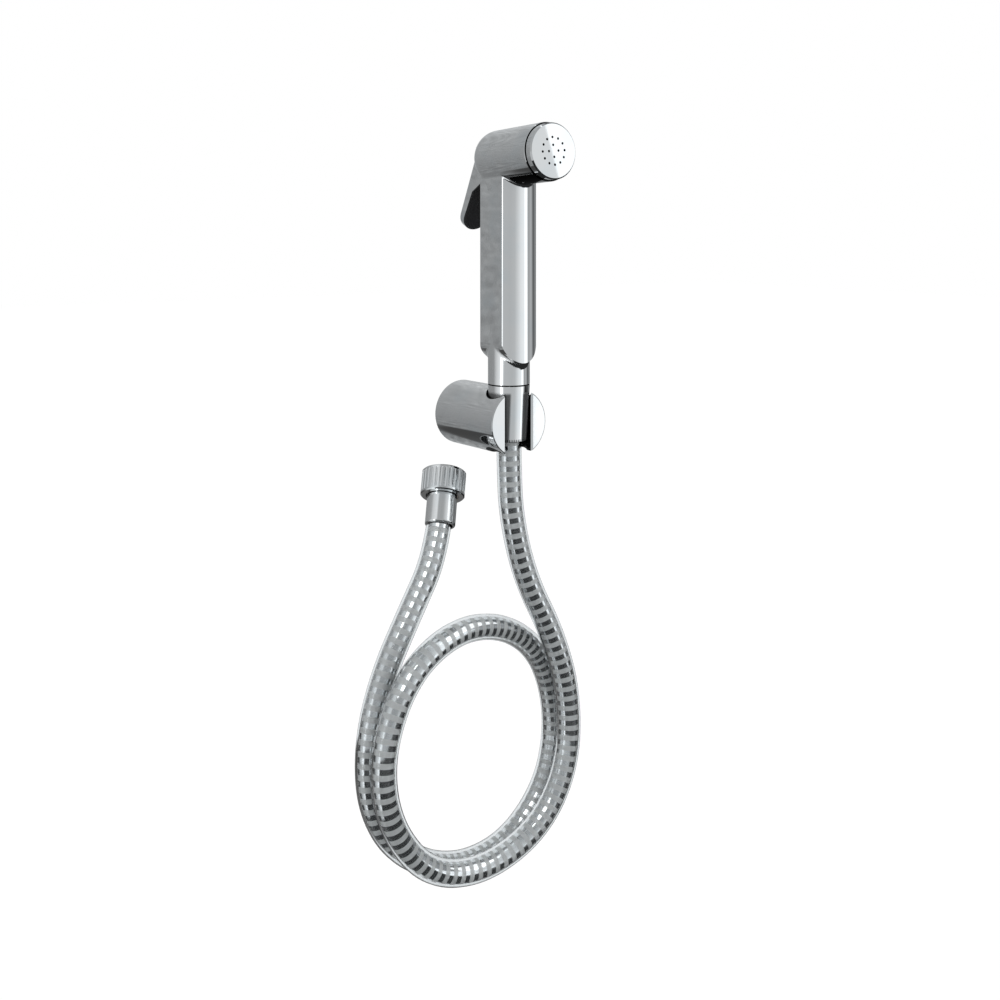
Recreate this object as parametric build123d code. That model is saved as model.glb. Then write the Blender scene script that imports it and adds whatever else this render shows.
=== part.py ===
from build123d import *
import math
import os

os.makedirs("parts", exist_ok=True)

# Handheld bidet shower on its wall bracket, in millimetres.
# The wall is the plane Y = 0, the object stands out along -Y, +Z is up,
# and the origin is the middle of the bracket's wall face.

# Wall bracket: a round bar with an upright tapered hole, open to the front
bracket_d = 36.9
bracket_length = 56.6
bore_out = 47.0
bore_mouth_d = 25.4
bore_seat_d = 21.4
seat_hole_d = 19.2
seat_land = 2.0
seat_flare = 0.8
slot_width = 17.5
slot_chamfer = 1.0
bracket_edge = 0.3
bracket_skin = 2.8
bracket_core_depth = 25.0
bracket_web = 13.0
screw_pitch = 16.0
screw_hole_d = 4.5
screw_head_d = 8.6
screw_floor = 8.0

# Handset heights above the bracket's axis
seam_z = 21.1
neck_d = 23.4
spigot_d = 20.6
spigot_length = 13.0
spigot_bore_d = 13.0

# Handle: flat sides, a flat back, a bulged front and a round lower end that flows into the neck
handle_width = 23.5
handle_back = 12.2
handle_front = 14.45
handle_front_r = 17.0
front_edge_r = 1.4
back_edge_r = 1.6
handle_end_z = 33.7
end_spread = 0.1
neck_cove_r = 4.0
head_cove_r = 2.0

# Head: a round bar across the top of the handle, tilted a little upwards
head_d = 32.2
head_reach = 40.7
head_z = 149.05
head_tilt = 3.0
head_length = 59.3
head_back_r = 11.5
head_mouth_edge = 0.4
chamber_d = 25.8
chamber_depth = 20.5

# Spray face: a screwed-in cap with two rings of jets
face_d = 30.8
face_rim = 4.1
face_plate = 2.2
face_edge = 0.8
face_groove_width = 0.5
face_groove_depth = 1.2
face_spigot_length = 7.0
face_spigot_wall = 1.9
face_turn = 4.5
jet_d = 1.0
outer_jets = 12
outer_jet_r = 7.4
inner_jets = 4
inner_jet_r = 3.2

# Water way up the handle, with a narrow last stretch below the valve
riser_d = 5.0
riser_out = 50.6
riser_length = 23.0

# Valve, across the handle under the head's axis
valve_drop = 8.05
valve_bore_d = 14.0
valve_bore_end = 65.0
valve_mouth_d = 16.0
valve_passage_d = 8.0
gland_length = 3.0
gland_hole_d = 5.2
spanner_hole_d = 1.6
sleeve_flange = 1.2
sleeve_length = 12.5
sleeve_bore_d = 8.0
sleeve_port_d = 4.4
stem_d = 5.0
stem_land_d = 7.8
stem_land_back = 0.7
stem_land_length = 2.7
stem_waist_d = 4.0
valve_disc_d = 11.0
valve_disc_thickness = 1.5
valve_washer_d = 10.6
valve_washer_thickness = 1.3
spring_boss_d = 4.6
spring_boss_length = 1.5
spring_d = 9.6
spring_wire = 0.9
spring_turns = 3.5

# O-rings: thickness of each
stem_seal_wire = 1.6
sleeve_seal_wire = 1.4
face_seal_wire = 1.6

# Trigger: a lever hung on a cross pin inside the head, with a rib that pushes the valve's stem
pocket_depth = 40.5
pocket_below_valve = 13.5
pocket_above_pin = 4.5
pin_out = 36.0
pin_rise = 1.95
pin_d = 3.0
pin_left = 11.6
pin_right = 12.8
trigger_lean = 25.5
trigger_width = 18.0
trigger_length = 50.5
trigger_inner = 1.2
trigger_edge = 6.6
trigger_crown = 1.4
trigger_wall = 1.2
trigger_top = 0.5
trigger_round = 1.0
trigger_back = 1.4
trigger_taper = 4.0
ear_r = 3.4
cheek_depth = 4.0
cheek_low = 18.5
cheek_foot = 25.8
rib_rise = 0.5
rib_width = 8.0
rib_d = 5.0
rib_proud = 0.91

# Cone nut that holds the hose to the handset and sits in the bracket
nut_gap = 0.3
nut_length = 31.2
nut_bottom_d = 20.2
nut_edge = 0.4
nut_cavity_d = 17.2
nut_lip = 2.2
nut_lip_d = 14.8

# Hose and its two ends
hose_d = 14.0
hose_bore_d = 8.6
barb_bore_d = 6.0
hose_washer_thickness = 2.0
hose_washer_bore_d = 9.0
flange_thickness = 2.0
top_ferrule_d = 16.6
barb_length = 15.0

# Inlet end: a ferrule and a fluted nut that leans back to the wall
inlet_point = (-33.2, -27.6, -57.5)
inlet_lean = (0.358, 0.405, 0.840)
inlet_ferrule_d = 17.0
inlet_ferrule_edge = 0.9
inlet_ferrule_length = 20.5
inlet_nut_d = 25.0
inlet_nut_start = 17.0
inlet_nut_length = 14.5
inlet_nut_hole_d = 17.6
inlet_recess_d = 18.8
inlet_recess_depth = 1.4
inlet_thread_d = 20.6
inlet_relief_d = 21.2
inlet_nut_bevel = 1.2
flutes = 30
flute_d = 1.7
flute_depth = 0.5
flute_margin = 1.6

# Clearances
running = 0.06
seated = 0.05
relief = 0.1
gap = 0.4

# Share of the shorter run that each bend of the hose takes
run_share = 0.45

# Route of the hose's centre line from the handset to the inlet, as corners of straight runs
hose_route = [
    (0, -47, 4.1),
    (0, -47, -24),
    (1, -48, -54),
    (10, -49, -89),
    (28, -51, -123),
    (39, -52, -159),
    (36, -54, -199),
    (14, -55, -229),
    (-25, -56, -241),
    (-61, -57, -231),
    (-85, -58, -198),
    (-89, -58, -161),
    (-72, -56, -125),
    (-37, -49, -109),
    (1, -42, -115),
    (31, -36, -138),
    (43, -35, -175),
    (34, -38, -213),
    (5, -39, -240),
    (-33, -41, -243),
    (-68, -43, -225),
    (-87, -43.5, -196),
    (-88, -42, -160),
    (-77, -40.5, -127.5),
    (-60.5, -38.5, -100.5),
    (-38.22, -33.28, -69.27),
    (-25.86, -19.3, -40.28),
]

valve_z = head_z - valve_drop
pin_z = head_z + pin_rise
riser_z = valve_z - riser_length
rib_z = valve_z + rib_rise
bracket_r = bracket_d / 2
nut_top = seam_z - nut_gap
nut_bottom = nut_top - nut_length
spigot_end = seam_z - spigot_length
flange_top = spigot_end - hose_washer_thickness
flange_bottom = flange_top - flange_thickness
sleeve_out = pocket_depth + gland_length
disc_out = sleeve_out + sleeve_length + valve_washer_thickness
base = (Align.CENTER, Align.CENTER, Align.MIN)

# Where the lever's rib meets the end of the valve's stem
lean = math.radians(trigger_lean)
down_lever = (pin_z + trigger_inner * math.sin(lean) - rib_z) / math.cos(lean)
lever_out = pin_out - trigger_inner * math.cos(lean) - down_lever * math.sin(lean)
stem_end_out = lever_out + rib_proud


def upright(d, low, high, out=bore_out):
    return Pos(0, -out, low) * Cylinder(d / 2, high - low, align=base)


def outward(d, start, end, z):
    return Pos(0, -start, z) * Rot(90, 0, 0) * Cylinder(d / 2, end - start, align=base)


def o_ring(outer_d, wire):
    return Torus(outer_d / 2 - wire / 2, wire / 2)


def on_head(shape):
    # Local Z runs back from the spray face along the head's axis
    return Pos(0, -bore_out - head_reach, head_z) * Rot(-90 - head_tilt, 0, 0) * shape


def on_valve(shape, out):
    # Local Z runs out from the wall along the valve's axis
    return Pos(0, -out, valve_z) * Rot(90, 0, 0) * shape


def on_trigger(shape):
    # Local -Z runs down the lever from its pin and local Y is its back
    return Pos(0, -pin_out, pin_z) * Rot(trigger_lean, 0, 0) * shape


def on_inlet(shape):
    # Local Z runs along the inlet end from the ferrule's mouth to the open nut
    return Plane(origin=inlet_point, z_dir=inlet_lean).location * shape


def box(x_half, y_low, y_high, z_low, z_high):
    size = Box(2 * x_half, y_high - y_low, z_high - z_low)
    return Pos(0, (y_low + y_high) / 2, (z_low + z_high) / 2) * size


def bracket_slot():
    half = slot_width / 2
    mouth = half + slot_chamfer
    lip = -bracket_length + slot_chamfer
    front = -bracket_length
    past = front - slot_chamfer
    outline = Polyline(
        (-half, -bore_out), (-half, lip), (-mouth, front), (-mouth, past),
        (mouth, past), (mouth, front), (half, lip), (half, -bore_out), close=True,
    )
    section = make_face(outline)
    return Pos(0, 0, -bracket_d) * extrude(section, 2 * bracket_d)


def bracket_cores():
    core = outward(bracket_d - 2 * bracket_skin, 0, bracket_core_depth, 0)
    return core - box(bracket_web / 2, -bracket_core_depth, 0, -bracket_d, bracket_d)


def wall_bracket():
    body = outward(bracket_d, 0, bracket_length, 0)
    body = chamfer(body.edges().sort_by(Axis.Y)[0], bracket_edge)
    taper = Cone(bore_seat_d / 2, bore_mouth_d / 2, bracket_r - nut_bottom, align=base)
    body -= Pos(0, -bore_out, nut_bottom) * taper
    body -= upright(bore_mouth_d, bracket_r, bracket_d)
    body -= upright(seat_hole_d, -bracket_d, nut_bottom)
    flare_top = nut_bottom - seat_land
    flare = Cone(seat_hole_d / 2 + seat_flare, seat_hole_d / 2, bracket_r + flare_top, align=base)
    body -= Pos(0, -bore_out, -bracket_r) * flare
    body -= bracket_slot()
    body -= bracket_cores()
    for side in (-1, 1):
        z = side * screw_pitch / 2
        body -= outward(screw_hole_d, 0, bore_out, z)
        body -= outward(screw_head_d, screw_floor, bore_out, z)
    return body


def handle_section():
    half = handle_width / 2
    corner = handle_front - handle_front_r + math.sqrt(handle_front_r**2 - half**2)
    left = Line((-half, handle_back), (-half, -corner))
    front = ThreePointArc((-half, -corner), (0, -handle_front), (half, -corner))
    right = Line((half, -corner), (half, handle_back))
    back = Line((half, handle_back), (-half, handle_back))
    section = make_face(Wire([left, front, right, back]))
    section = fillet(section.vertices().sort_by(Axis.Y)[:2], front_edge_r)
    return fillet(section.vertices().sort_by(Axis.Y)[-2:], back_edge_r)


def handle_end():
    # Half round in front view, run through from front to back and coved into the neck
    half = handle_width / 2 + end_spread
    centre = handle_end_z + half
    tall = Rectangle(2 * half, 2 * (head_z - centre), align=(Align.CENTER, Align.MIN))
    outline = Plane.XZ * Pos(0, centre) * (Circle(half) + tall)
    slab = Pos(0, -bore_out, 0) * extrude(outline, handle_front + handle_back, both=True)
    neck = upright(neck_d, seam_z, centre)
    form = slab + neck
    return fillet(new_edges(slab, neck, combined=form), neck_cove_r)


def handle():
    bar = Pos(0, -bore_out, seam_z) * extrude(handle_section(), head_z - seam_z)
    return bar & handle_end()


def head():
    start = face_rim + face_groove_width
    bar = Pos(0, 0, start) * Cylinder(head_d / 2, head_length - start, align=base)
    bar = fillet(bar.edges().sort_by(Axis.Z)[-1], head_back_r)
    bar = chamfer(bar.edges().sort_by(Axis.Z)[0], head_mouth_edge)
    collar = Cylinder(face_d / 2 - face_groove_depth, face_groove_width, align=base)
    return on_head(bar + Pos(0, 0, face_rim) * collar)


def trigger_pocket():
    low = valve_z - pocket_below_valve
    return box(trigger_width / 2 + gap, -pocket_depth, 0, low, pin_z + pocket_above_pin)


def across(d, left, right):
    bar = Rot(0, 90, 0) * Cylinder(d / 2, left + right, align=base)
    return Pos(-left, -pin_out, pin_z) * bar


def valve_bores():
    mouth = outward(valve_mouth_d, pocket_depth, pocket_depth + gland_length + sleeve_flange, valve_z)
    bore = outward(valve_bore_d, pocket_depth, valve_bore_end, valve_z)
    chamber_back = bore_out + head_reach - chamber_depth
    passage = outward(valve_passage_d, valve_bore_end, chamber_back + 1, valve_z)
    return [mouth, bore, passage]


def handset_shell():
    grip = handle()
    bar = head()
    body = grip + bar
    body = fillet(new_edges(grip, bar, combined=body), head_cove_r)
    body += upright(spigot_d, spigot_end, seam_z)
    body -= on_head(Cylinder(chamber_d / 2, chamber_depth, align=base))
    body -= trigger_pocket()
    for bore in valve_bores():
        body -= bore
    body -= upright(spigot_bore_d, spigot_end, riser_z)
    body -= upright(riser_d, riser_z, valve_z, riser_out)
    body -= across(pin_d, pin_left, head_d)
    return body


def jets(count, radius):
    ring = PolarLocations(radius, count, start_angle=90 - face_turn)
    return ring * Cylinder(jet_d / 2, face_plate, align=base)


def spray_face():
    cap = Cylinder(face_d / 2, face_rim, align=base)
    cap = chamfer(cap.edges().sort_by(Axis.Z)[0], face_edge)
    spigot_r = chamber_d / 2 - seated
    cap += Pos(0, 0, face_rim) * Cylinder(spigot_r, face_spigot_length, align=base)
    inside = Cylinder(spigot_r - face_spigot_wall, face_rim + face_spigot_length, align=base)
    cap -= Pos(0, 0, face_plate) * inside
    cap -= face_seal_groove()
    for hole in [*jets(outer_jets, outer_jet_r), *jets(inner_jets, inner_jet_r)]:
        cap -= hole
    return on_head(cap)


def face_seal_place():
    return Pos(0, 0, face_rim + face_spigot_length / 2)


def face_seal_groove():
    d = chamber_d - 2 * face_seal_wire
    cutter = Cylinder(chamber_d, face_seal_wire) - Cylinder(d / 2, face_seal_wire)
    return face_seal_place() * cutter


def face_seal():
    return on_head(face_seal_place() * o_ring(chamber_d, face_seal_wire))


def gland_nut():
    nut = Cylinder(valve_mouth_d / 2 - seated, gland_length, align=base)
    nut -= Cylinder(gland_hole_d / 2, gland_length, align=base)
    ring = (valve_mouth_d + gland_hole_d) / 4
    for hole in PolarLocations(ring, 2) * Cylinder(spanner_hole_d / 2, gland_length / 2, align=base):
        nut -= hole
    return on_valve(nut, pocket_depth)


def sleeve_seal_places():
    front = (sleeve_length + riser_out - sleeve_out + sleeve_port_d / 2) / 2
    back = sleeve_flange + sleeve_seal_wire * 0.75
    return [Pos(0, 0, back), Pos(0, 0, front)]


def valve_sleeve():
    outer = valve_bore_d / 2 - seated
    sleeve = Cylinder(valve_mouth_d / 2 - seated, sleeve_flange, align=base)
    sleeve += Cylinder(outer, sleeve_length, align=base)
    sleeve -= Cylinder(sleeve_bore_d / 2, sleeve_length, align=base)
    cutter = Cylinder(valve_bore_d, sleeve_seal_wire)
    cutter -= Cylinder(valve_bore_d / 2 - sleeve_seal_wire, sleeve_seal_wire)
    for place in sleeve_seal_places():
        sleeve -= place * cutter
    sleeve = on_valve(sleeve, sleeve_out)
    return sleeve - upright(sleeve_port_d, valve_z - valve_bore_d, valve_z, riser_out)


def sleeve_seal(place):
    return on_valve(place * o_ring(valve_bore_d, sleeve_seal_wire), sleeve_out)


def sleeve_seal_back():
    return sleeve_seal(sleeve_seal_places()[0])


def sleeve_seal_front():
    return sleeve_seal(sleeve_seal_places()[1])


def valve_stem():
    land = sleeve_out + stem_land_back
    stem = outward(stem_d, stem_end_out, land, valve_z)
    stem += outward(stem_land_d, land, land + stem_land_length, valve_z)
    stem += outward(stem_waist_d, land + stem_land_length, disc_out, valve_z)
    stem += outward(valve_disc_d, disc_out, disc_out + valve_disc_thickness, valve_z)
    boss_out = disc_out + valve_disc_thickness
    stem += outward(spring_boss_d, boss_out, boss_out + spring_boss_length, valve_z)
    groove = Cylinder(stem_land_d, stem_seal_wire)
    groove -= Cylinder(sleeve_bore_d / 2 - seated - stem_seal_wire, stem_seal_wire)
    return stem - on_valve(groove, land + stem_land_length / 2)


def stem_seal():
    ring = o_ring(sleeve_bore_d - 2 * seated, stem_seal_wire)
    return on_valve(ring, sleeve_out + stem_land_back + stem_land_length / 2)


def valve_washer():
    disc = outward(valve_washer_d, disc_out - valve_washer_thickness, disc_out, valve_z)
    return disc - outward(stem_waist_d, sleeve_out, disc_out, valve_z)


def valve_spring():
    start = disc_out + valve_disc_thickness
    length = valve_bore_end - start - spring_wire
    coil = Helix(pitch=length / spring_turns, height=length, radius=(spring_d - spring_wire) / 2)
    wire = sweep(Plane(origin=coil @ 0, z_dir=coil % 0) * Circle(spring_wire / 2), path=coil)
    return on_valve(Pos(0, 0, spring_wire / 2) * wire, start)


def hinge_pin():
    return across(pin_d, pin_left, pin_right)


def lever_outline(half, top):
    # Front view of the lever: straight sides and a round lower end
    centre = trigger_width / 2 - trigger_length
    side = Rectangle(2 * half, top - centre, align=(Align.CENTER, Align.MIN))
    return Pos(0, centre) * (side + Circle(half))


def lever_slab(half, top, inner, outer):
    # The outline stands upright, from the inner face back to the outer one
    return Pos(0, outer, 0) * Rot(90, 0, 0) * extrude(lever_outline(half, top), outer - inner)


def lever_crown():
    half = trigger_width / 2
    radius = (half**2 + trigger_crown**2) / (2 * trigger_crown)
    bar = Cylinder(radius, 2 * trigger_length + pin_d)
    return Pos(0, trigger_edge + trigger_crown - radius, -trigger_length / 2) * bar


def lever_relief():
    # Takes the lower half of the inner face back at a slant
    depth = trigger_edge
    relief = Pos(0, -depth / 2, -trigger_length / 2) * Box(2 * trigger_width, depth, trigger_length)
    return Pos(0, trigger_inner, -cheek_foot) * Rot(trigger_taper, 0, 0) * relief


def cheek_block(half):
    inner = trigger_edge - trigger_back
    profile = Polyline(
        (inner, trigger_top), (inner, -cheek_foot), (trigger_inner, -cheek_foot),
        (-cheek_depth, -cheek_low), (-ear_r, 0), (0, trigger_top), close=True,
    )
    side = make_face(Plane.YZ * profile)
    block = extrude(side, half, both=True)
    ear = Rot(0, 90, 0) * Cylinder(ear_r, 2 * half)
    return block + ear


def trigger_cover():
    half = trigger_width / 2
    full = lever_slab(half, trigger_top, trigger_inner, trigger_edge + trigger_crown) & lever_crown()
    back = full.faces().sort_by(Axis.Y)[-1]
    full = fillet(back.edges(), trigger_round)
    full += cheek_block(half)
    inside = half - trigger_wall
    back_inner = trigger_edge - trigger_back
    full -= lever_slab(inside, 2 * ear_r, -2 * cheek_depth, back_inner)
    full -= Rot(0, 90, 0) * Cylinder(pin_d / 2 + running, trigger_width)
    return on_trigger(full - lever_relief())


def trigger_core():
    half = trigger_width / 2 - trigger_wall - seated
    outer = trigger_edge - trigger_back - seated
    core = lever_slab(half, 0, trigger_inner, outer)
    core += Rot(0, 90, 0) * Cylinder(ear_r, 2 * half)
    core -= Rot(0, 90, 0) * Cylinder(pin_d / 2 + running, trigger_width)
    core -= lever_relief()
    rib = Rot(0, 90, 0) * Cylinder(rib_d / 2, rib_width)
    place = Pos(0, seated - stem_end_out + rib_d / 2, rib_z)
    return on_trigger(core) + place * rib


def cone_nut():
    top_r = neck_d / 2
    low_r = nut_bottom_d / 2
    outline = Polyline(
        (0, nut_bottom), (low_r - nut_edge, nut_bottom), (low_r, nut_bottom + nut_edge),
        (top_r, nut_top - nut_edge), (top_r - nut_edge, nut_top), (0, nut_top), close=True,
    )
    nut = Pos(0, -bore_out, 0) * revolve(make_face(Plane.XZ * outline), Axis.Z)
    nut -= upright(nut_lip_d, nut_bottom, nut_top)
    nut -= upright(nut_cavity_d, nut_bottom + nut_lip, nut_top)
    return nut - upright(spigot_d + 2 * seated, flange_bottom - running, nut_top)


def hose_washer():
    ring = upright(spigot_d - 1, flange_top, spigot_end)
    return ring - upright(hose_washer_bore_d, flange_top, spigot_end)


def top_insert():
    insert = upright(spigot_d - 1, flange_bottom, flange_top)
    insert += upright(hose_bore_d - 2 * seated, flange_bottom - barb_length, flange_bottom)
    return insert - upright(barb_bore_d, flange_bottom - barb_length, flange_top)


def top_ferrule():
    low = nut_bottom + nut_lip + gap
    ferrule = upright(top_ferrule_d, low, flange_bottom)
    return ferrule - upright(hose_d + 2 * seated, low, flange_bottom)


def inlet_ferrule():
    ferrule = Cylinder(inlet_ferrule_d / 2, inlet_ferrule_length, align=base)
    ferrule = fillet(ferrule.edges().sort_by(Axis.Z)[0], inlet_ferrule_edge)
    return on_inlet(ferrule - Cylinder(hose_d / 2 + seated, inlet_ferrule_length, align=base))


def inlet_insert():
    place = Pos(0, 0, inlet_ferrule_length)
    insert = place * Cylinder(inlet_thread_d / 2 - gap, flange_thickness, align=base)
    barb = Cylinder(hose_bore_d / 2 - seated, barb_length, align=base)
    insert += Pos(0, 0, inlet_ferrule_length - barb_length) * barb
    return on_inlet(insert - Cylinder(barb_bore_d / 2, 2 * inlet_ferrule_length, align=base))


def inlet_washer():
    ring = Cylinder(inlet_thread_d / 2 - gap, hose_washer_thickness, align=base)
    ring -= Cylinder(hose_washer_bore_d / 2, hose_washer_thickness, align=base)
    return on_inlet(Pos(0, 0, inlet_ferrule_length + flange_thickness) * ring)


def inlet_nut():
    nut = Cylinder(inlet_nut_d / 2, inlet_nut_length, align=base)
    nut = chamfer(nut.edges().filter_by(GeomType.CIRCLE), inlet_nut_bevel / 2)
    floor = inlet_ferrule_length - inlet_nut_start - running
    nut -= Cylinder(inlet_nut_hole_d / 2, inlet_nut_length, align=base)
    nut -= Cylinder(inlet_recess_d / 2, inlet_recess_depth, align=base)
    nut -= Pos(0, 0, floor) * Cylinder(inlet_thread_d / 2, inlet_nut_length, align=base)
    relief_depth = running + flange_thickness + hose_washer_thickness + relief
    nut -= Pos(0, 0, floor) * Cylinder(inlet_relief_d / 2, relief_depth, align=base)
    flute = Cylinder(flute_d / 2, inlet_nut_length - 2 * flute_margin, align=base)
    ring = inlet_nut_d / 2 + flute_d / 2 - flute_depth
    for cut in Pos(0, 0, flute_margin) * PolarLocations(ring, flutes) * flute:
        nut -= cut
    return on_inlet(Pos(0, 0, inlet_nut_start) * nut)


def hose_path():
    points = [Vector(*point) for point in hose_route]
    runs = [b - a for a, b in zip(points, points[1:])]
    radii = []
    for before, after in zip(runs, runs[1:]):
        half_turn = math.radians(before.get_angle(after)) / 2
        shorter = min(before.length, after.length)
        radii.append(run_share * shorter / math.tan(half_turn))
    print("hose radii", [round(r) for r in radii])
    return FilletPolyline(*points, radius=radii)


def hose_tube():
    path = hose_path()
    end = Plane(origin=path @ 0, z_dir=path % 0)
    jacket = sweep(end * Circle(hose_d / 2), path=path)
    water = sweep(end * Circle(hose_bore_d / 2), path=path)
    section = math.pi * hose_d**2 / 4
    print("hose length", round(path.length, 1), "volume share", round(jacket.volume / section / path.length, 4))
    return jacket - water


makers = [
    wall_bracket, handset_shell, spray_face, face_seal, gland_nut, valve_sleeve, sleeve_seal_back,
    sleeve_seal_front, valve_stem, stem_seal, valve_washer, valve_spring, hinge_pin, trigger_cover,
    trigger_core, cone_nut, hose_washer, top_insert, top_ferrule, hose_tube, inlet_ferrule,
    inlet_insert, inlet_washer, inlet_nut,
]
for make in makers:
    export_step(make(), f"parts/{make.__name__}.step")
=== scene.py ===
"""Looks of a handheld bidet shower: chromed handset, trigger, wall bracket, fluted union nut and a
clear hose over a foil-banded core. Lengths are metres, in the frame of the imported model."""
import math

import bpy
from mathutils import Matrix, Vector


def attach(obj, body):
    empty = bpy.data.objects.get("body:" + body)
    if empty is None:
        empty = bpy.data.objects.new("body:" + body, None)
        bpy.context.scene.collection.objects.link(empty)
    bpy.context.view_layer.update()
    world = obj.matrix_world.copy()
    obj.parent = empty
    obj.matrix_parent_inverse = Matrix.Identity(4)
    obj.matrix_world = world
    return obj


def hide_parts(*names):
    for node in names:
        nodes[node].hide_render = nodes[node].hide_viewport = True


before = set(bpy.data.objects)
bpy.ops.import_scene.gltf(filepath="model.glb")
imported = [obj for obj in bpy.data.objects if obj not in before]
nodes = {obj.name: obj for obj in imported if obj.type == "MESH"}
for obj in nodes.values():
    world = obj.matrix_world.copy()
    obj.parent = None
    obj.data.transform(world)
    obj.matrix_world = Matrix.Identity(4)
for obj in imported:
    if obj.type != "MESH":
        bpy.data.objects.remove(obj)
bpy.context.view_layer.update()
MM = 0.001

# Camera: a level view with the horizon well above the middle of the frame
CAMERA_PLACE = (-0.43382, -0.64404, 0.11251)
CAMERA_TURN = -35.62
CAMERA_LENS = 47.63
CAMERA_SENSOR = 36.0
CAMERA_SHIFT = -0.2806
CAMERA_CLIP = 0.01

# Soft lamps: place, size and power; mirrors don't see them
LAMP_AIM = (0.0, -0.05, 0.0)
KEY_LAMP = ((-0.9, -0.9, 1.2), 0.9, 6.0)
FILL_LAMP = ((1.0, -0.7, 0.7), 0.9, 3.0)

# Floor, well below the hanging hose: grey for soft light, with a share of white shine for the eye
FLOOR_Z = -0.32
FLOOR_HALF = 6.0
FLOOR_GREY = 0.85
FLOOR_SHARE = 0.9
FLOOR_SHINE = 1.05

# Hose: its route as corners of straight runs, the same as in the solid model, in millimetres
HOSE_ROUTE = [
    (0, -47, 4.1),
    (0, -47, -24),
    (1, -48, -54),
    (10, -49, -89),
    (28, -51, -123),
    (39, -52, -159),
    (36, -54, -199),
    (14, -55, -229),
    (-25, -56, -241),
    (-61, -57, -231),
    (-85, -58, -198),
    (-89, -58, -161),
    (-72, -56, -125),
    (-37, -49, -109),
    (1, -42, -115),
    (31, -36, -138),
    (43, -35, -175),
    (34, -38, -213),
    (5, -39, -240),
    (-33, -41, -243),
    (-68, -43, -225),
    (-87, -43.5, -196),
    (-88, -42, -160),
    (-77, -40.5, -127.5),
    (-60.5, -38.5, -100.5),
    (-38.22, -33.28, -69.27),
    (-25.86, -19.3, -40.28),
]
HOSE_R = 7.0 * MM
HOSE_WALL = 1.35 * MM
CORE_R = 5.5 * MM
BAND_PITCH = 5.7 * MM
BAND_SHARE = 0.5
RINGS_PER_BAND = 8
CORE_SIDES = 40
JACKET_ROUND = 10
ROUTE_STEPS = 10
ROUTE_ORDER = 3

# Painted shade on the solids: a dark, rougher plate where hardly any light reaches. First the
# bracket's bore, slot and front rim
PAINTED_SHADE_GREY = 0.02
PAINTED_SHADE_ROUGH = 0.45
BORE_OUT = 47.0 * MM
BORE_R = 12.75 * MM
SLOT_LIP = -55.55 * MM
SLOT_HALF = 8.8 * MM
LIP_HALF = 9.8 * MM
FRONT_PLANE = -56.57 * MM
RIM_R = 17.9 * MM
RIM_SHADE = 0.6

# Painted shade in the spray face's jets, in the groove behind it, and on the head's underside
# before the handle
FACE_PLACE = (-87.7 * MM, 149.05 * MM)
HEAD_TILT = math.radians(3.0)
JET_START = 0.08 * MM
JETS_R = 9.0 * MM
JET_RINGS = ((12, 7.4 * MM), (4, 3.2 * MM))
JET_ANGLE = math.radians(85.5)
JET_RIM_R = 0.7 * MM
GROOVE_START = 4.05 * MM
GROOVE_END = 4.75 * MM
HEAD_UNDER = (10.6 * MM, 11.6 * MM)
HEAD_OUT = 16.2 * MM
HANDLE_FRONT = -55.0 * MM

# Painted shade in the joint between handset and cone nut, in the nut's notches, and on its flanks
# inside the slot, uneven left and right
JOINT_TOP = 21.22 * MM
JOINT_LOW = 20.45 * MM
NOTCHES = 52.0
NOTCH_SHARE = 0.2
NOTCH_TOP = -8.9 * MM
NUT_TOP = (15.5 * MM, 17.5 * MM)
NUT_LEFT = (-6.4 * MM, -5.2 * MM)
NUT_RIGHT = (0.9 * MM, 1.9 * MM)
NUT_SHADE = 0.8

# Chrome plate: brightness, roughness and haze of each kind, its water marks and its fine ripple
BODY_PLATE = (0.89, 0.02, 0.03)
FACE_PLATE = (0.89, 0.015, 0.004)
BRACKET_PLATE = (0.87, 0.03, 0.03)
UNION_PLATE = (0.86, 0.07, 0.04)
FERRULE_PLATE = (0.86, 0.09, 0.04)
MARKS_SCALE = 60.0
MARKS_DETAIL = 4.0
MARKS_EDGES = (0.45, 0.75)
MARKS_DIM = 0.975
FINE_DETAIL = 2.0
RIPPLE_SCALE = 900.0
RIPPLE_DEPTH = 0.1 * MM
BODY_RIPPLE = 0.02
FACE_RIPPLE = 0.003

# Plastic and rubber: colour and roughness, and the texture of the mould
ACETAL = ((0.021, 0.021, 0.023), 0.35)
RUBBER = ((0.02, 0.02, 0.02), 0.55)
MOULD_SCALE = 40.0
MOULD_DIM = 0.8
MOULD_DRY = 0.12
GRAIN_SCALE = 2500.0
GRAIN_DEPTH = 0.05 * MM
GRAIN_STRENGTH = 0.3

# Turned and drawn metal, and the foil of the hose: colour and roughness, and their tarnish
BRASS = ((0.78, 0.60, 0.32), 0.22)
STEEL = ((0.62, 0.62, 0.63), 0.2)
FOIL = ((0.86, 0.87, 0.88), 0.06)
TARNISH_SCALE = 80.0
TARNISH_DIM = 0.85
TARNISH_ROUGH = 0.1

# Clear jacket and matt bands of the hose
CLEAR_BRIGHT = (0.97, 0.98, 0.98)
CLEAR_CLOUDY = (0.93, 0.945, 0.95)
CLEAR_SCALE = 120.0
CLEAR_ROUGH = 0.02
CLEAR_CLOUD = 0.03
CLEAR_IOR = 1.5
MATT_PALE = (0.64, 0.655, 0.66)
MATT_DEEP = (0.54, 0.555, 0.56)
MATT_SCALE = 1500.0
MATT_ROUGH = 0.55


# Outputs of the Texture Coordinate and Light Path nodes; ray depths are whole numbers
GENERATED = 0
OBJECT = 3
CAMERA_RAY = 0
GLOSSY_RAY = 3
TRANSMITTED_RAY = 6
GLOSSY_DEPTH = 11
TRANSMITTED_DEPTH = 13
HALF_BOUNCE = 0.5


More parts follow.
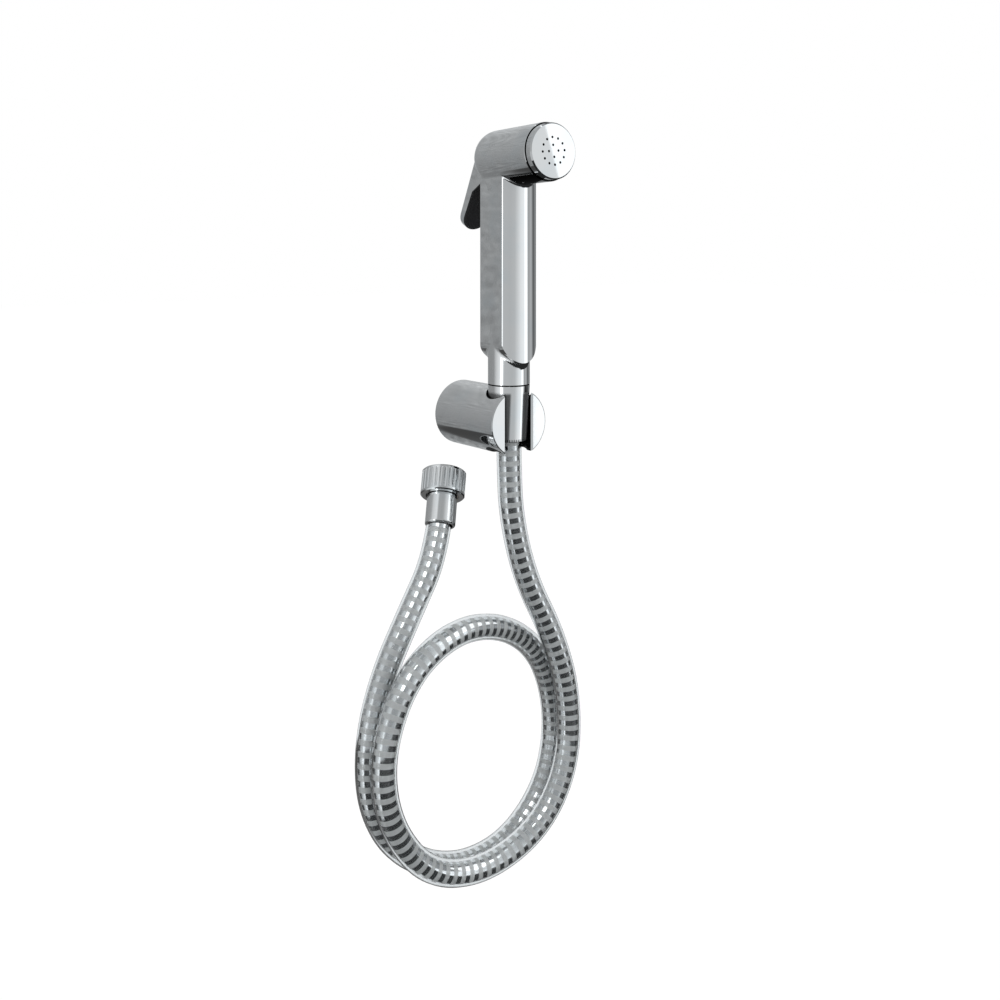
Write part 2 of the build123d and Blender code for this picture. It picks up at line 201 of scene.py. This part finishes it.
class Sock:
    """A node's output in one tree, with Python's operators for Math nodes."""

    def __init__(self, tree, socket):
        self.tree = tree
        self.socket = socket

    def math(self, operation, *others):
        settings = {"operation": operation}
        return self.tree.add("ShaderNodeMath", settings, [self, *others])[0]

    def __add__(self, other):
        return self.math("ADD", other)

    def __radd__(self, other):
        return self.math("ADD", other)

    def __sub__(self, other):
        return self.math("SUBTRACT", other)

    def __rsub__(self, other):
        return self.tree.add("ShaderNodeMath", {"operation": "SUBTRACT"}, [other, self])[0]

    def __mul__(self, other):
        return self.math("MULTIPLY", other)

    def __rmul__(self, other):
        return self.math("MULTIPLY", other)

    def __truediv__(self, other):
        return self.math("DIVIDE", other)

    def smooth(self, low, high):
        values = {"Value": self, "From Min": low, "From Max": high, "To Min": 0.0, "To Max": 1.0}
        return self.tree.add("ShaderNodeMapRange", {"interpolation_type": "SMOOTHSTEP"}, values)[0]


class Tree:
    """A node tree of a material, world or geometry, filled by one node-making method."""

    def __init__(self, nodes_and_links):
        self.made = nodes_and_links
        self.made.nodes.clear()

    def add(self, kind, settings=None, values=None):
        node = self.made.nodes.new(kind)
        for name, setting in (settings or {}).items():
            if name == "stops":
                self.fill_ramp(node.color_ramp, setting)
            else:
                setattr(node, name, setting)
        pairs = values.items() if isinstance(values, dict) else enumerate(values or [])
        for key, value in pairs:
            self.feed(node.inputs[key], value)
        return [Sock(self, out) for out in node.outputs if out.enabled]

    def fill_ramp(self, ramp, stops):
        while len(ramp.elements) < len(stops):
            ramp.elements.new(0.5)
        for element, (place, colour) in zip(ramp.elements, sorted(stops, key=lambda s: s[0])):
            element.position = place
            element.color = (*colour, 1.0)

    def feed(self, socket, value):
        if isinstance(value, Sock):
            self.made.links.new(value.socket, socket)
        else:
            socket.default_value = value


def link(obj):
    bpy.context.scene.collection.objects.link(obj)
    return obj


def new_material(name):
    material = bpy.data.materials.new(name)
    material.use_nodes = True
    return material, Tree(material.node_tree)


def finish_material(tree, shader):
    tree.add("ShaderNodeOutputMaterial", None, {"Surface": shader})


def grey(value, tint=(1.0, 1.0, 1.0)):
    return tuple(value * part for part in tint)


# Studio as a mirror shows it, by compass angle in degrees from +X towards +Y. STUDIO holds how
# bright the walls are. UNDER holds how far below the horizon, in a unit direction, it turns dark,
# and how bright it is there; UNDER_HOSE holds the same for what is mirrored inside the hose
COOL = (0.965, 1.0, 1.02)
PLATE_GAIN = 1.12
STUDIO = [
    (-179.9, 0.72), (-173, 0.95), (-158, 0.72), (-153, 0.45), (-110, 0.43), (-93, 0.46),
    (-81, 0.59), (-69, 0.74), (-60, 0.80), (-51, 0.84), (-36.5, 0.33), (-26, 0.36), (-17, 0.41),
    (-10, 0.28), (-4, 0.12), (6, 0.12), (14, 0.25), (24, 0.18), (36, 0.16), (46, 0.38),
    (60, 0.42), (72, 0.34), (90, 0.27), (125, 0.27), (143, 0.29), (158, 0.53), (171, 0.64),
    (179.9, 0.72),
]
UNDER = [
    (-179.9, 0.85, 0.07), (-166, 0.85, 0.07), (-158, 0.33, 0.02), (-120, 0.45, 0.02),
    (-70, 0.45, 0.02), (-56, 0.26, 0.02), (-36, 0.24, 0.02), (-25, 0.17, 0.02),
    (40, 0.17, 0.02), (60, 0.99, 0.05), (140, 0.99, 0.05), (179.9, 0.85, 0.07),
]
UNDER_HOSE = [
    (-179.9, 0.75, 0.07), (-168, 0.75, 0.07), (-160, 0.17, 0.045), (-62, 0.17, 0.045),
    (-56, 0.24, 0.045), (-38, 0.24, 0.045), (-25, 0.15, 0.04), (60, 0.10, 0.04),
    (138, 0.10, 0.04), (150, 0.75, 0.06), (179.9, 0.75, 0.07),
]
UNDER_EDGE = 0.02
ROOM_GREY = 0.8

# Strip light: its compass window, its foot and head, and its brightness on plate and in the hose
STRIP = (-173.0, -171.0, -165.0, -163.5)
STRIP_LOW = -0.42
STRIP_HIGH = 0.25
STRIP_FADE = 0.1
STRIP_LIGHT = 3.0
HOSE_LIGHT = 1.0

# Softbox: its compass window, which leans by its height in degrees, its foot and its brightness
SOFTBOX = (-53.02, -52.92, -39.0, -36.5)
SOFTBOX_RISE = (0.0, 6.0)
SOFTBOX_SHIFT = 2.61
SOFTBOX_LEAN = 0.186
SOFTBOX_LOW = -0.25
SOFTBOX_LIGHT = 1.08
FRONT_DIM = 0.2

# Pale rim inside the hose's jacket
HOSE_WHITE = (8.0, 16.0, 98.0, 106.0)
HOSE_RIM = 0.78

# Uneven backdrop on the side of the wall, which grows paler upwards
MOTTLE_SPREAD = (1.0, 120.0, 8.0)
MOTTLE_SQUEEZE = 0.12
MOTTLE_DEPTH = 1.7
MOTTLE_DETAIL = 3.0
MOTTLE_SIDE = (0.1, 0.6)
BACK_RISE = 0.45

# Dark table under the object, seen by mirrors only, on the side of the wall; its edge comes nearer
# on the right of TABLE_TURN
TABLE_EDGE = (0.60, 0.655)
TABLE_TURN = -0.25
TABLE_SLANT = 0.9
TABLE_DARK = 0.06
TABLE_PALE = 0.14
TABLE_FADE = (0.1, 0.5)
TABLE_SIDE = (0.35, 0.75)


def mix_colours(tree, share, first, second, blend="MIX"):
    def full(colour):
        return colour if isinstance(colour, Sock) else (*colour, 1.0)

    values = {"Factor": share, "A": full(first), "B": full(second)}
    return tree.add("ShaderNodeMix", {"data_type": "RGBA", "blend_type": blend}, values)[0]


def by_compass(tree, turn, rows):
    """A ramp round the compass; each row holds an angle and up to three numbers."""
    stops = [((row[0] + 180) / 360, (*row[1:], 0.0, 0.0)[:3]) for row in rows]
    return tree.add("ShaderNodeValToRGB", {"stops": stops}, [turn])[0]


def window(value, edges):
    """1 between the middle two edges, falling to 0 at the outer two."""
    return value.smooth(*edges[:2]) * (1.0 - value.smooth(*edges[2:]))


def below(value, limit):
    return value.math("LESS_THAN", limit)


def above(value, limit):
    return value.math("GREATER_THAN", limit)


def most(*masks):
    """The largest of several masks."""
    first, *rest = masks
    for mask in rest:
        first = first.math("MAXIMUM", mask)
    return first


def far_from_axis(first, second):
    return (first * first + second * second).math("SQRT")


def mottled(tree, level, y, z):
    """The walls' brightness with the uneven backdrop on the side of the wall."""
    squeezed = z / (z.math("ABSOLUTE") + MOTTLE_SQUEEZE)
    spread = tree.add("ShaderNodeCombineXYZ", None, [0.0, y, squeezed])[0]
    spread = tree.add("ShaderNodeMapping", None, {"Vector": spread, "Scale": MOTTLE_SPREAD})[0]
    values = {"Vector": spread, "Detail": MOTTLE_DETAIL}
    cloud = tree.add("ShaderNodeTexNoise", None, values)[0]
    uneven = (cloud - 0.5) * MOTTLE_DEPTH + z * BACK_RISE
    return level * (1.0 + uneven * y.smooth(*MOTTLE_SIDE))


def mirrored_studio(tree, through_hose):
    """What a mirror shows: walls by compass angle, a strip light, a softbox and dark below."""
    place = tree.add("ShaderNodeTexCoord")[GENERATED]
    x, y, z = tree.add("ShaderNodeSeparateXYZ", None, [place])
    turn = y.math("ARCTAN2", x) / (2 * math.pi) + 0.5
    degrees = turn * 360.0 - 180.0
    rise = z.math("ARCSINE") * (180.0 / math.pi)
    level = tree.add("ShaderNodeSeparateColor", None, [by_compass(tree, turn, STUDIO)])[0]
    level = mottled(tree, level, y, z)
    level = level * (1.0 - rise.smooth(*SOFTBOX_RISE) * below(y, 0.0) * FRONT_DIM)

    lows = tree.add("ShaderNodeSeparateColor", None, [by_compass(tree, turn, UNDER)])
    hose_lows = tree.add("ShaderNodeSeparateColor", None, [by_compass(tree, turn, UNDER_HOSE)])
    height, dark = ((1.0 - through_hose) * plain + through_hose * inside
                    for plain, inside in zip(lows[:2], hose_lows[:2]))
    lit = (z + height).smooth(-UNDER_EDGE, UNDER_EDGE)
    level = dark + (level - dark) * lit

    ends = (STRIP_LOW - UNDER_EDGE, STRIP_LOW, STRIP_HIGH, STRIP_HIGH + STRIP_FADE)
    strip = window(degrees, STRIP) * window(z, ends)
    shift = rise.smooth(*SOFTBOX_RISE) * (SOFTBOX_SHIFT - rise * SOFTBOX_LEAN)
    softbox = window(degrees - shift, SOFTBOX)
    softbox = softbox * z.smooth(SOFTBOX_LOW - UNDER_EDGE, SOFTBOX_LOW)
    level = level * (1.0 - softbox) + softbox * SOFTBOX_LIGHT
    strip_light = STRIP_LIGHT - through_hose * (STRIP_LIGHT - HOSE_LIGHT)
    level = level * (1.0 - strip) + strip * strip_light

    rim = window(degrees, HOSE_WHITE) * through_hose
    level = (level * (1.0 - rim) + rim * HOSE_RIM) * PLATE_GAIN
    flat = tree.add("ShaderNodeCombineColor", None, [level] * 3)[0]
    return mix_colours(tree, 1.0, flat, COOL, "MULTIPLY")


def light_path(tree):
    """Masks for rays: seen directly or through clear plastic, reflected, reflected in the hose."""
    made = tree.add("ShaderNodeLightPath")
    bounced = above(made[GLOSSY_DEPTH], HALF_BOUNCE)
    crossed = above(made[TRANSMITTED_DEPTH], HALF_BOUNCE)
    white = most(made[CAMERA_RAY], made[TRANSMITTED_RAY] * (1.0 - bounced))
    reflected = most(made[GLOSSY_RAY], bounced) * (1.0 - white)
    return white, reflected, bounced * crossed


def studio_world():
    world = bpy.data.worlds.new("studio")
    bpy.context.scene.world = world
    world.use_nodes = True
    tree = Tree(world.node_tree)
    white, reflected, through_hose = light_path(tree)
    seen = mix_colours(tree, reflected, grey(ROOM_GREY), mirrored_studio(tree, through_hose))
    colour = mix_colours(tree, white, seen, (1.0, 1.0, 1.0))
    light = tree.add("ShaderNodeBackground", None, {"Color": colour, "Strength": 1.0})[0]
    tree.add("ShaderNodeOutputWorld", None, {"Surface": light})


def floor():
    """Pale floor for the eye and for soft light; mirrors see a dark table on it by the object."""
    mesh = bpy.data.meshes.new("floor")
    corners = [(-1, -1), (1, -1), (1, 1), (-1, 1)]
    corners = [(x * FLOOR_HALF, y * FLOOR_HALF, FLOOR_Z) for x, y in corners]
    mesh.from_pydata(corners, [], [(0, 1, 2, 3)])
    plane = link(bpy.data.objects.new("floor", mesh))
    material, tree = new_material("pale_floor")
    white, reflected = light_path(tree)[:2]
    x, y = object_place(tree)[:2]
    far = far_from_axis(x, y)
    side = (y / far).smooth(*TABLE_SIDE)
    reach = far + (x - TABLE_TURN).math("MAXIMUM", 0.0) * TABLE_SLANT
    near = (1.0 - reach.smooth(*TABLE_EDGE)) * side
    tone = mix_colours(tree, far.smooth(*TABLE_FADE), grey(TABLE_PALE), grey(TABLE_DARK))
    table = tree.add("ShaderNodeEmission", None, {"Color": tone, "Strength": 1.0})[0]
    clear = tree.add("ShaderNodeBsdfTransparent")[0]
    mirrored = tree.add("ShaderNodeMixShader", None, [near, clear, table])[0]
    pale = tree.add("ShaderNodeBsdfDiffuse", None, {"Color": (*grey(FLOOR_GREY), 1.0)})[0]
    lit = {"Color": (*grey(1.0), 1.0), "Strength": FLOOR_SHINE}
    shine = tree.add("ShaderNodeEmission", None, lit)[0]
    plain = tree.add("ShaderNodeMixShader", None, [white * FLOOR_SHARE, pale, shine])[0]
    finish_material(tree, tree.add("ShaderNodeMixShader", None, [reflected, plain, mirrored])[0])
    mesh.materials.append(material)


def camera():
    data = bpy.data.cameras.new("camera")
    eye = link(bpy.data.objects.new("camera", data))
    eye.location = CAMERA_PLACE
    eye.rotation_euler = (math.radians(90), 0, math.radians(CAMERA_TURN))
    data.sensor_width = CAMERA_SENSOR
    data.lens = CAMERA_LENS
    data.shift_y = CAMERA_SHIFT
    data.clip_start = CAMERA_CLIP
    bpy.context.scene.camera = eye


def lamp(name, place, size, power):
    data = bpy.data.lights.new(name, "AREA")
    data.shape = "SQUARE"
    data.size = size
    data.energy = power
    light = link(bpy.data.objects.new(name, data))
    light.location = place
    aim = Vector(LAMP_AIM) - Vector(place)
    light.rotation_euler = aim.to_track_quat("-Z", "Y").to_euler()
    light.visible_glossy = False
    light.visible_camera = False


def noise(tree, scale, detail=3.0):
    place = tree.add("ShaderNodeTexCoord")[OBJECT]
    values = {"Vector": place, "Scale": scale, "Detail": detail}
    return tree.add("ShaderNodeTexNoise", None, values)[0]


def bump(tree, strength, depth, height):
    values = {"Strength": strength, "Distance": depth, "Height": height}
    return tree.add("ShaderNodeBump", None, values)[0]


def object_place(tree):
    return tree.add("ShaderNodeSeparateXYZ", None, [tree.add("ShaderNodeTexCoord")[OBJECT]])


def bracket_painted_shade(tree):
    """Painted shade in the bracket's bore and slot, on the slot's left lip and on the rim of the
    front face.
    """
    x, y, z = object_place(tree)
    wide = x.math("ABSOLUTE")
    bore = below(far_from_axis(x, y + BORE_OUT), BORE_R)
    bore = bore * most(above(y, SLOT_LIP), below(wide, SLOT_HALF))
    left_lip = below(x, 0.0) * below(y, SLOT_LIP) * above(y, FRONT_PLANE) * below(wide, LIP_HALF)
    rim = below(y, FRONT_PLANE) * above(far_from_axis(x, z), RIM_R) * RIM_SHADE
    return most(bore, left_lip, rim)


def along_head(tree):
    """How far a point is behind the spray face, beside the head's axis and above that axis."""
    x, y, z = object_place(tree)
    out, up = y - FACE_PLACE[0], z - FACE_PLACE[1]
    back = out * math.cos(HEAD_TILT) - up * math.sin(HEAD_TILT)
    rise = out * math.sin(HEAD_TILT) + up * math.cos(HEAD_TILT)
    return back, x, rise


def face_painted_shade(tree):
    """Painted shade in the jets with their dark rims, and in the groove behind the cap."""
    back, x, rise = along_head(tree)
    away = far_from_axis(x, rise)
    angle = (0.0 - rise).math("ARCTAN2", x)
    dark = above(back, JET_START) * below(away, JETS_R)
    for count, radius in JET_RINGS:
        turn = (angle - JET_ANGLE) * (count / (2 * math.pi))
        aside = (turn - turn.math("ROUND")) * (2 * math.pi * radius / count)
        dark = most(dark, below(far_from_axis(aside, away - radius), JET_RIM_R))
    return most(dark, above(back, GROOVE_START))


def handset_painted_shade(tree):
    """Painted shade in the groove behind the cap, in the nut's joint, and on the head's underside
    before the handle.
    """
    back, x, rise = along_head(tree)
    y, z = object_place(tree)[1:]
    within = below(far_from_axis(x, rise), HEAD_OUT)
    under = (0.0 - rise).smooth(*HEAD_UNDER) * below(y, HANDLE_FRONT) * within
    return most(below(back, GROOVE_END), below(z, JOINT_TOP), under)


def nut_painted_shade(tree):
    """Painted shade on the cone nut's upper edge, in the notches round its lower edge, and on its
    flanks in the slot, uneven left and right.
    """
    x, y, z = object_place(tree)
    around = (y + BORE_OUT).math("ARCTAN2", x) * NOTCHES
    notches = above(around.math("SINE"), NOTCH_SHARE) * below(z, NOTCH_TOP)
    flanks = most(1.0 - x.smooth(*NUT_LEFT), x.smooth(*NUT_RIGHT)) * (1.0 - z.smooth(*NUT_TOP))
    return most(above(z, JOINT_LOW), notches, flanks * NUT_SHADE)


def finish_surface(tree, values):
    finish_material(tree, tree.add("ShaderNodeBsdfPrincipled", None, values)[0])


def chrome(name, plate, painted_shade=None, ripple=BODY_RIPPLE, painted_shade_rough=PAINTED_SHADE_ROUGH):
    """Bright plate with a faint haze of water marks, and painted shade, darker and rougher, where
    the given mask says so.
    """
    bright, rough, haze = plate
    material, tree = new_material(name)
    marks = noise(tree, MARKS_SCALE, MARKS_DETAIL).smooth(*MARKS_EDGES)
    roughness = rough + marks * haze
    colour = mix_colours(tree, marks, grey(bright), grey(bright * MARKS_DIM, COOL))
    # Painted shade: where the mask says so, the plate turns dark grey and rougher.
    if painted_shade:
        dark = painted_shade(tree)
        colour = mix_colours(tree, dark, colour, grey(PAINTED_SHADE_GREY))
        roughness = roughness + dark * painted_shade_rough
    skin = bump(tree, ripple, RIPPLE_DEPTH, noise(tree, RIPPLE_SCALE, FINE_DETAIL))
    values = {"Base Color": colour, "Metallic": 1.0, "Roughness": roughness, "Normal": skin}
    finish_surface(tree, values)
    return material


def moulded(name, colour, rough):
    """Plastic or rubber: a faint moulding texture with drier and shinier places."""
    material, tree = new_material(name)
    broad = noise(tree, MOULD_SCALE)
    shade = mix_colours(tree, broad, colour, grey(MOULD_DIM, colour))
    skin = bump(tree, GRAIN_STRENGTH, GRAIN_DEPTH, noise(tree, GRAIN_SCALE, FINE_DETAIL))
    values = {"Base Color": shade, "Roughness": rough + broad * MOULD_DRY, "Normal": skin}
    finish_surface(tree, values)
    return material


def turned(name, colour, rough):
    """Turned metal or foil, slightly tarnished in places."""
    material, tree = new_material(name)
    broad = noise(tree, TARNISH_SCALE)
    shade = mix_colours(tree, broad, colour, grey(TARNISH_DIM, colour))
    rough = rough + broad * TARNISH_ROUGH
    finish_surface(tree, {"Base Color": shade, "Metallic": 1.0, "Roughness": rough})
    return material


def clear_plastic(name):
    """Clear hose jacket, a little cloudy."""
    material, tree = new_material(name)
    cloud = noise(tree, CLEAR_SCALE)
    values = {
        "Base Color": mix_colours(tree, cloud, CLEAR_BRIGHT, CLEAR_CLOUDY),
        "Roughness": CLEAR_ROUGH + cloud * CLEAR_CLOUD,
        "IOR": CLEAR_IOR,
        "Transmission Weight": 1.0,
    }
    finish_surface(tree, values)
    return material


def matt_band(name):
    """The matt stretches of the hose's core, between the foil."""
    material, tree = new_material(name)
    colour = mix_colours(tree, noise(tree, MATT_SCALE), MATT_PALE, MATT_DEEP)
    finish_surface(tree, {"Base Color": colour, "Roughness": MATT_ROUGH, "Metallic": 0.0})
    return material


def dress(node, material):
    mesh = nodes[node].data
    mesh.materials.clear()
    mesh.materials.append(material)


def hose_curve():
    data = bpy.data.curves.new("hose_route", "CURVE")
    data.dimensions = "3D"
    data.resolution_u = ROUTE_STEPS
    spline = data.splines.new("NURBS")
    spline.points.add(len(HOSE_ROUTE) - 1)
    for point, place in zip(spline.points, HOSE_ROUTE):
        point.co = (*(c * MM for c in place), 1.0)
    spline.order_u = ROUTE_ORDER
    spline.use_endpoint_u = True
    return link(bpy.data.objects.new("hose_route", data))


def plain_mesh(obj, name):
    """The evaluated object as a new mesh."""
    graph = bpy.context.evaluated_depsgraph_get()
    mesh = bpy.data.meshes.new_from_object(obj.evaluated_get(graph))
    mesh.name = name
    return mesh


def jacket(curve, material):
    """The clear outer tube, with a real wall over the core."""
    curve.data.bevel_depth = HOSE_R
    curve.data.bevel_resolution = JACKET_ROUND
    tube = link(bpy.data.objects.new("hose_jacket", plain_mesh(curve, "hose_jacket")))
    curve.data.bevel_depth = 0.0
    wall = tube.modifiers.new("wall", "SOLIDIFY")
    wall.thickness = HOSE_WALL
    wall.offset = -1.0
    wall.use_rim = True
    tube.data = plain_mesh(tube, "hose_jacket")
    tube.modifiers.clear()
    tube.data.materials.clear()
    tube.data.materials.append(material)
    tube.data.shade_smooth()
    return tube


def band_tree(foil, matt):
    """Geometry nodes: a tube along the path, with a foil band once in every pitch."""
    group = bpy.data.node_groups.new("hose_bands", "GeometryNodeTree")
    face = group.interface
    face.new_socket("Geometry", in_out="INPUT", socket_type="NodeSocketGeometry")
    sizes = {}
    kinds = {"Radius": "Float", "Pitch": "Float", "Share": "Float", "Sides": "Int", "Rings": "Int"}
    for name, kind in kinds.items():
        socket = face.new_socket(name, in_out="INPUT", socket_type="NodeSocket" + kind)
        sizes[name] = socket.identifier
    face.new_socket("Geometry", in_out="OUTPUT", socket_type="NodeSocketGeometry")
    tree = Tree(group)
    path, radius, pitch, share, sides, rings = tree.add("NodeGroupInput")[:6]
    line = tree.add("GeometryNodeMeshToCurve", None, {"Mesh": path})[0]
    stepped = {"Curve": line, "Length": pitch / rings}
    even = tree.add("GeometryNodeResampleCurve", {"mode": "LENGTH"}, stepped)[0]
    along = tree.add("GeometryNodeSplineParameter")[1]
    tree.add("GeometryNodeCaptureAttribute", None, {"Geometry": even})
    capture = group.nodes[-1]
    capture.capture_items.new("FLOAT", "Run")
    tree.feed(capture.inputs["Run"], along)
    kept, run = (Sock(tree, capture.outputs[name]) for name in ("Geometry", "Run"))
    size = {"Resolution": sides, "Radius": radius}
    ring = tree.add("GeometryNodeCurvePrimitiveCircle", {"mode": "RADIUS"}, size)[0]
    swept = {"Curve": kept, "Profile Curve": ring, "Fill Caps": True}
    tube = tree.add("GeometryNodeCurveToMesh", None, swept)[0]
    smooth = tree.add("GeometryNodeSetShadeSmooth", None, {"Geometry": tube})[0]
    within = run.math("FLOORED_MODULO", pitch) / pitch
    less = {"data_type": "FLOAT", "operation": "LESS_THAN"}
    in_band = tree.add("FunctionNodeCompare", less, {"A": within, "B": share})[0]
    base = tree.add("GeometryNodeSetMaterial", None, {"Geometry": smooth, "Material": matt})[0]
    banded = {"Geometry": base, "Selection": in_band, "Material": foil}
    shiny = tree.add("GeometryNodeSetMaterial", None, banded)[0]
    whole = tree.add("GeometryNodeRealizeInstances", None, {"Geometry": shiny})[0]
    tree.add("NodeGroupOutput", None, {"Geometry": whole})
    return group, sizes


def banded_core(path_mesh, foil, matt):
    """The hose's core, with its foil bands."""
    core = link(bpy.data.objects.new("hose_core", path_mesh))
    group, sizes = band_tree(foil, matt)
    bands = core.modifiers.new("bands", "NODES")
    bands.node_group = group
    values = {"Radius": CORE_R, "Pitch": BAND_PITCH, "Share": BAND_SHARE,
              "Sides": CORE_SIDES, "Rings": RINGS_PER_BAND}
    for name, value in values.items():
        bands[sizes[name]] = value
    core.data = plain_mesh(core, "hose_core")
    core.modifiers.clear()
    return core


def hose(foil, matt, clear):
    curve = hose_curve()
    path_mesh = plain_mesh(curve, "hose_path")
    core = banded_core(path_mesh, foil, matt)
    outer = jacket(curve, clear)
    bpy.data.objects.remove(curve)
    for piece, slot in ((core, "foil"), (outer, "clear_hose")):
        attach(piece, "root")
    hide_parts("hose_tube")


def dress_all():
    """Gives every CAD node its finish, and returns the foil for the hose."""
    # The handset, spray face, cone nut and bracket get painted shade from their masks.
    dress("handset_shell", chrome("chrome_handset", BODY_PLATE, handset_painted_shade, painted_shade_rough=0.0))
    dress("spray_face", chrome("chrome_face", FACE_PLATE, face_painted_shade, FACE_RIPPLE))
    dress("trigger_cover", chrome("chrome_trigger", BODY_PLATE))
    dress("cone_nut", chrome("chrome_nut", BODY_PLATE, nut_painted_shade))
    dress("wall_bracket", chrome("chrome_bracket", BRACKET_PLATE, bracket_painted_shade))
    dress("inlet_nut", chrome("chrome_union", UNION_PLATE))
    dress("inlet_ferrule", chrome("chrome_ferrule", FERRULE_PLATE))
    dress("trigger_core", moulded("dark_acetal", *ACETAL))
    brass = turned("turned_brass", *BRASS)
    for node in ("gland_nut", "valve_sleeve", "valve_stem", "top_insert", "inlet_insert"):
        dress(node, brass)
    steel = turned("drawn_steel", *STEEL)
    for node in ("hinge_pin", "valve_spring"):
        dress(node, steel)
    rubber = moulded("black_rubber", *RUBBER)
    for node in ("face_seal", "sleeve_seal_back", "sleeve_seal_front", "stem_seal",
                 "valve_washer", "hose_washer", "inlet_washer"):
        dress(node, rubber)
    foil = turned("band_foil", *FOIL)
    dress("top_ferrule", foil)
    return foil


camera()
studio_world()
floor()
lamp("key_lamp", *KEY_LAMP)
lamp("fill_lamp", *FILL_LAMP)
foil_finish = dress_all()
hose(foil_finish, matt_band("band_matt"), clear_plastic("clear_jacket"))

bpy.context.scene.view_settings.view_transform = "Standard"
